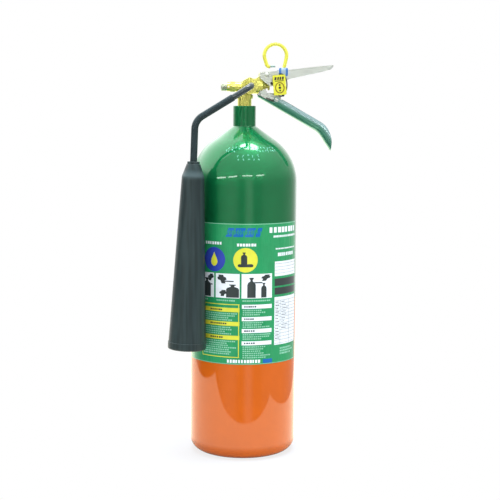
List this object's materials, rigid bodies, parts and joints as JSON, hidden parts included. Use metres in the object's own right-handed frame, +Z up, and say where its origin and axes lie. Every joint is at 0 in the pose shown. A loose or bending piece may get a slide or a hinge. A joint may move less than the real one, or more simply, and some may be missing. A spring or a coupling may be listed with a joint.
{
  "type": "portable fire extinguisher",
  "caption": "Slim gas fire extinguisher with a domed shoulder, brass valve, squeeze lever over a fixed carrying handle, safety pin with pull ring, and a side horn on a swivelling bent tube.",
  "frame": {"origin": "centre of the standing ring, on the floor plane under the pressure cylinder's axis", "axes": "+Z up along the cylinder, +X along the carrying handle, -Y the front, where the discharge tube leaves the valve and the label's middle lies"},
  "size_m": [0.2189, 0.1511, 0.5414],
  "materials": {
    "paint": "gloss green over orange enamel",
    "label_film": "gloss printed film",
    "brass": "as machined",
    "steel": "zinc plated, satin",
    "chrome": "bright chrome plate",
    "stainless": "drawn",
    "cap_metal": "satin grey",
    "dark_plastic": "fine matt grain",
    "tube_paint": "satin dark grey enamel",
    "yellow_plastic": "dipped coat",
    "clip_plastic": "clear blue tint",
    "strap_plastic": "plain",
    "tag_plastic": "yellow, printed",
    "seal_rubber": "plain",
    "seal_fibre": "plain"
  },
  "bodies": {
    "cylinder": {"cylinder_shell": "paint", "neck_ring": "paint", "neck_seal": "seal_fibre", "label": "label_film", "dip_tube": "cap_metal", "valve_body": "brass", "valve_seat": "brass", "valve_spring": "stainless", "gland_seal": "seal_rubber", "gland_nut": "brass", "relief_plug": "brass", "disc_washer": "seal_fibre", "rupture_disc": "stainless", "relief_cap": "cap_metal", "pivot_pin": "steel", "lower_handle": "chrome", "handle_bracket": "steel", "handle_bolt": "steel", "handle_nut": "steel", "bracket_rivet": "steel", "swivel_seal": "seal_fibre", "swivel_nut": "brass"},
    "lever": {"operating_lever": "steel", "pusher_pin": "stainless", "seal_clip": "clip_plastic", "seal_strap": "strap_plastic", "seal_tag": "tag_plastic"},
    "stem": {"valve_stem": "brass", "poppet": "brass", "poppet_seal": "seal_fibre"},
    "pin": {"safety_pin": "stainless", "pull_ring": "yellow_plastic"},
    "horn_arm": {"swivel_ferrule": "brass", "discharge_tube": "tube_paint", "tube_sleeve": "strap_plastic", "horn_collar": "dark_plastic", "nozzle_insert": "brass", "horn": "dark_plastic", "horn_rim": "dark_plastic"}
  },
  "joints": [
    {"name": "lever_squeeze", "type": "hinge", "parent": "cylinder", "child": "lever", "pos_m": [0.0281, 0, 0.4988], "axis": [0, 1, 0], "range_deg": [0, 15], "stiffness_Nm_per_rad": 3, "springref_deg": -8.59},
    {"name": "stem_push", "type": "slide", "parent": "cylinder", "child": "stem", "axis": [-1, 0, 0], "range_m": [0, 0.0031], "deforming": ["valve_spring"]},
    {"name": "safety_pin_pull", "type": "slide", "parent": "cylinder", "child": "pin", "axis": [0, 0, 1], "range_m": [0, 0.045]},
    {"name": "horn_swing", "type": "hinge", "parent": "cylinder", "child": "horn_arm", "pos_m": [0.0046, -0.02, 0.4843], "axis": [0, 1, 0], "range_deg": [0, 120]}
  ],
  "couplings": [
    {"joint": "stem_push", "follows": "lever_squeeze", "m_per_rad": 0.0118}
  ]
}
